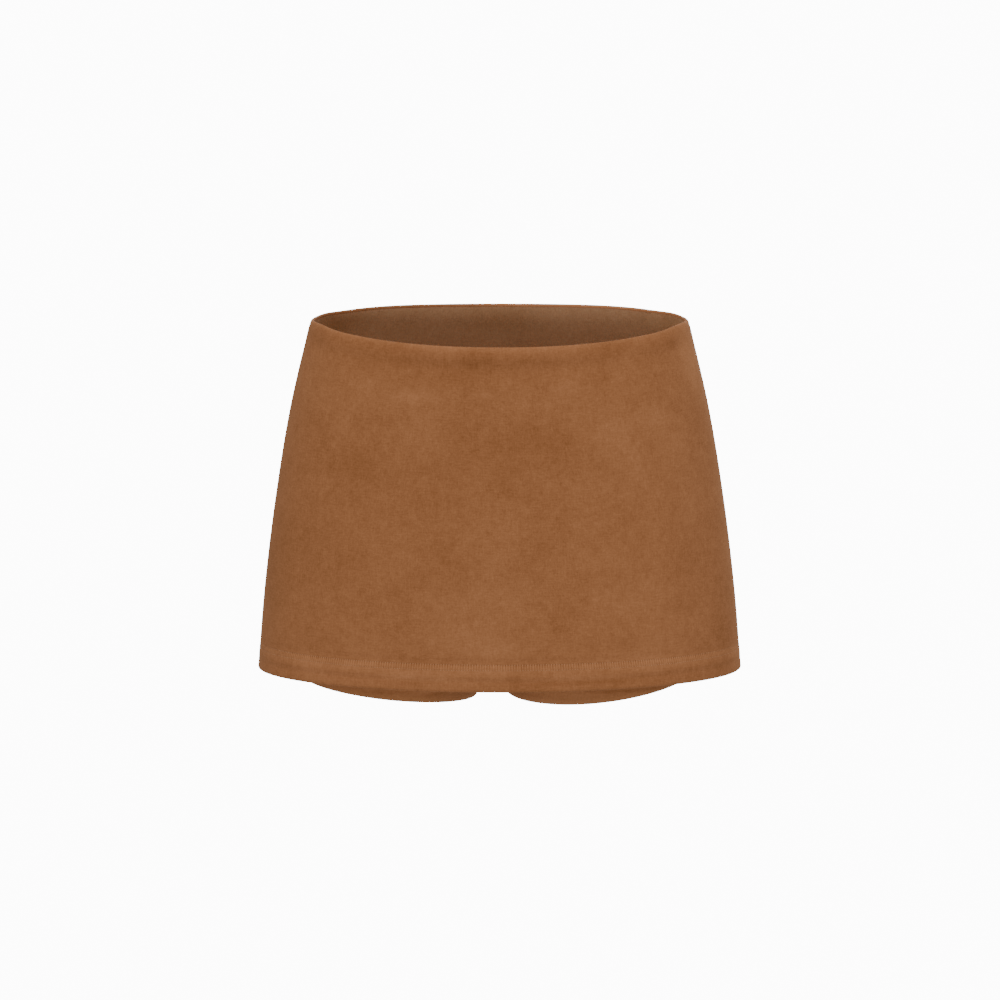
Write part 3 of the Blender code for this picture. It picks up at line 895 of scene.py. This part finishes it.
SHORTS_FOLDS = (
    Fold(heading=264, drop=0.215, spread=0.010, reach=0.030, lean=0.3, height=-0.0010),
    Fold(heading=276, drop=0.215, spread=0.010, reach=0.030, lean=-0.3, height=-0.0010),
    Fold(heading=245, drop=0.235, spread=0.012, reach=0.030, lean=0.5, height=0.0008),
    Fold(heading=295, drop=0.235, spread=0.012, reach=0.030, lean=-0.5, height=0.0008),
    Fold(heading=96, drop=0.215, spread=0.012, reach=0.032, lean=0.3, height=-0.0010),
    Fold(heading=84, drop=0.215, spread=0.012, reach=0.032, lean=-0.3, height=-0.0010),
    Fold(heading=66, drop=0.240, spread=0.014, reach=0.030, lean=0.4, height=0.0008),
    Fold(heading=114, drop=0.240, spread=0.014, reach=0.030, lean=-0.4, height=0.0008),
)


def leg_hem(leg, share):
    """Drop of a leg's hem, which rises from the inside leg to the side."""
    return between(leg.inseam_drop, leg.side_drop, outward_share(share) ** leg.curve)


def shorts_face(leg):
    """Points of one half's face, or at a height off it, as a function of share and drop."""
    skin = shorts_skin(leg)

    def face(share, drop, height=0.0, relief=1.0):
        heading = leg_heading(leg, share)
        into_lap = smooth((heading + LAP_RAMP) / LAP_RAMP)
        out_of_lap = smooth((lap_end + LAP_RAMP - heading) / LAP_RAMP)
        below_edge = drop - waist_edge(heading)
        fade = smooth(below_edge / UNDER_LAP_TOP) * (1 - smooth((below_edge - TOP_ZONE) / LAP_FADE))
        depth = SHORTS_DEPTH + LAP_DEPTH * into_lap * out_of_lap * fade
        above_hem = leg_hem(leg, share) - drop
        girth = np.hypot(*np.moveaxis(skin(share, drop), -1, 0)[:2])
        stand = read_relief(LEG_RELIEF, above_hem) + fold_relief(SHORTS_FOLDS, heading, drop, girth)
        for line in LEG_STITCH_LINES:
            stand = stand - STITCH_SINK * hump(above_hem - line, STITCH_SPREAD)
        to_middle = np.minimum(share, 1 - share) * METRES_EACH_SHARE
        met = hump(to_middle, MEETING_REACH) * smooth((drop - FORK_START) / MEETING_EASE)
        met = met * (1 - smooth((drop - FORK) / (leg.inseam_drop - FORK)))
        height = (height - depth + relief * stand) * (1 - met)
        points = stand_off(skin, share, drop, height, turn=leg.side)
        points[..., 0] = leg.side * (np.maximum(leg.side * points[..., 0], 0.0) - MIDDLE_LAP)
        return points

    return face


SHORTS_ROWS = (
    [("hip", 0.0)]
    + stretch_rows("hip", 0, 1, 52)
    + stretch_rows("fork", 0, 1, 36)
    + stretch_rows("fall", 0, 1, 44)
    + stretch_rows("fold", 0, 1, 8)
    + stretch_rows("turn", 0, 1, 8)
)


def shorts_section(leg, share):
    """Drop and height for every row and column of a shorts piece."""
    top = waist_edge(leg_heading(leg, share)) + ROLL_RADIUS + ROLL_TAIL + SEAM_GAP
    hem = leg_hem(leg, share)
    drops, heights = [], []
    for stretch, at in SHORTS_ROWS:
        height = 0 * share
        if stretch == "hip":
            drop = between(top, FORK_START, at)
        elif stretch == "fork":
            drop = between(FORK_START, FORK, math.sin(math.pi / 2 * at)) + 0 * share
        elif stretch == "fall":
            drop = between(FORK, hem - FOLD_RADIUS, at)
        else:
            down, height, _ = turned_hem(stretch, at, FOLD_RADIUS, LEG_TURN)
            drop, height = hem + down, height + 0 * share
        drops.append(drop)
        heights.append(height)
    return np.array(drops), np.array(heights)


# The skirt's patches, and more: painted shade inside the waist behind and at its far ends, a painted
# shadow on the legs under the skirt's hem, and painted light low on the legs
SHORTS_TONE_AND_PAINTED_LIGHT_PATCHES = TONE_AND_PAINTED_LIGHT_PATCHES + (
    # painted shade inside the waist
    TonePatch(heading=160, drop=0.009, spread=0.034, reach=0.012, shade=-3.4),
    TonePatch(heading=16, drop=0.012, spread=0.024, reach=0.018, shade=-2.6),
    TonePatch(heading=89, drop=0.007, spread=0.030, reach=0.008, shade=-1.7),
    # painted shadow on the legs just under the skirt's hem
    TonePatch(heading=242, drop=0.311, spread=0.018, reach=0.0016, shade=-1.7),
    TonePatch(heading=229, drop=0.307, spread=0.022, reach=0.0016, shade=-1.5),
    TonePatch(heading=321, drop=0.306, spread=0.022, reach=0.0017, shade=-2.6),
    TonePatch(heading=333, drop=0.3065, spread=0.020, reach=0.0022, shade=-1.4),
    # painted light low on the wearer's left leg
    TonePatch(heading=309, drop=0.312, spread=0.024, reach=0.0045, shade=1.4),
    TonePatch(heading=300, drop=0.319, spread=0.040, reach=0.005, shade=1.8),
)
SHORTS_DARK, SHORTS_LIGHT = (0.306, 0.117, 0.040, 1.0), (0.455, 0.193, 0.079, 1.0)
shorts_suede = suede_knit("shorts_suede_nap", SHORTS_DARK, SHORTS_LIGHT, 0.8, LEG_STITCH_LINES)
shorts_inside = suede_knit("shorts_suede_inside", INSIDE_DARK, INSIDE_LIGHT, 0.6, LEG_STITCH_LINES)
PIECE_SHARES = {"front": (0.0, 0.5), "back": (0.5, 1.0)}
SHORTS_COLUMNS, LEG_STATIONS = 86, 400
share_gap = SEAM_GAP / 2 / METRES_EACH_SHARE
for side, leg in LEGS.items():
    face = shorts_face(leg)
    for half, (first, last) in PIECE_SHARES.items():
        start, end = first + share_gap, last - share_gap
        shares = spaced_columns(start, end, SHORTS_COLUMNS, METRES_EACH_SHARE)
        drops, heights = shorts_section(leg, shares)
        grid = np.broadcast_to(shares, drops.shape)
        from_seams = np.minimum(shares - shares[0], shares[-1] - shares) * METRES_EACH_SHARE
        heights = heights - seam_sink(from_seams, drops, SHORTS_PRESSED_TO, SHORTS_SEAM_EASE)
        hem = leg_hem(leg, shares)
        # the nap mark carries the patches' tone with their painted light and shade
        nap = patch_tone_and_painted_light(SHORTS_TONE_AND_PAINTED_LIGHT_PATCHES, leg_heading(leg, grid), drops)
        upper_row = face(shares, hem - LEG_STITCH_LINES[0], 0 * shares)
        marks = hem_marks(nap, hem - drops, run_lengths(upper_row))
        name = f"shorts_{half}_{side}"
        piece = lay_cloth(name + "_cloth", face(grid, drops, heights), marks)
        thicken(piece, shorts_suede, shorts_inside)
        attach(piece, "root")
        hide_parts(name)

        stations = np.linspace(start, end, LEG_STATIONS)
        rows = hem_rows(face, stations, leg_hem(leg, stations), LEG_STITCH_LINES)
        stitches = sew(name + "_stitches", rows)
        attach(stitches, "root")
bpy.data.objects.remove(stitch)

# ---------------------------------------------------------------- the studio
# A plain pale floor that curves up into a round wall, a soft even sky, and six soft lamps: two in
# front, one overhead, one low on each side and one behind.

FLOOR_DROP = 4.5
STUDIO_RADIUS = 9.0

bpy.ops.object.select_all(action="DESELECT")
bpy.ops.mesh.primitive_uv_sphere_add(segments=64, ring_count=32, radius=STUDIO_RADIUS)
studio = bpy.context.object
studio.name = "studio"
for corner in studio.data.vertices:
    corner.co.z = max(corner.co.z, -FLOOR_DROP)
pale = bpy.data.materials.new("pale_studio")
pale.use_nodes = True
shader = pale.node_tree.nodes["Principled BSDF"]
shader.inputs["Base Color"].default_value = (0.8, 0.8, 0.8, 1.0)
shader.inputs["Roughness"].default_value = 0.9
shader.inputs["Emission Color"].default_value = (1.0, 1.0, 1.0, 1.0)
shader.inputs["Emission Strength"].default_value = 12.0
pale.cycles.emission_sampling = "NONE"  # it is only looked at
studio.data.materials.append(pale)
studio.visible_diffuse = False
studio.visible_glossy = False
studio.visible_shadow = False

sky = bpy.data.worlds.new("soft_sky")
bpy.context.scene.world = sky
sky.use_nodes = True
sky.node_tree.nodes["Background"].inputs["Color"].default_value = (1.0, 1.0, 1.0, 1.0)
sky.node_tree.nodes["Background"].inputs["Strength"].default_value = 0.30

Lamp = namedtuple("Lamp", "place size watts")
LAMPS = {
    "low": Lamp(place=(0.0, -3.0, -0.25), size=0.4, watts=16.0),
    "aside": Lamp(place=(-1.7, -2.4, -0.15), size=0.5, watts=11.5),
    "high": Lamp(place=(0.0, -0.5, 3.0), size=2.4, watts=52.0),
    "left": Lamp(place=(-2.9, -0.6, -0.8), size=1.2, watts=5.0),
    "right": Lamp(place=(2.9, -0.6, -0.8), size=1.2, watts=20.5),
    "behind": Lamp(place=(0.4, 2.9, 0.8), size=2.4, watts=45.0),
}
for name, lamp in LAMPS.items():
    place = Vector(lamp.place)
    aim = (AIM - place).to_track_quat("-Z", "Y").to_euler()
    bpy.ops.object.light_add(type="AREA", location=place, rotation=aim)
    bpy.context.object.name = name
    bpy.context.object.data.size = lamp.size
    bpy.context.object.data.energy = lamp.watts
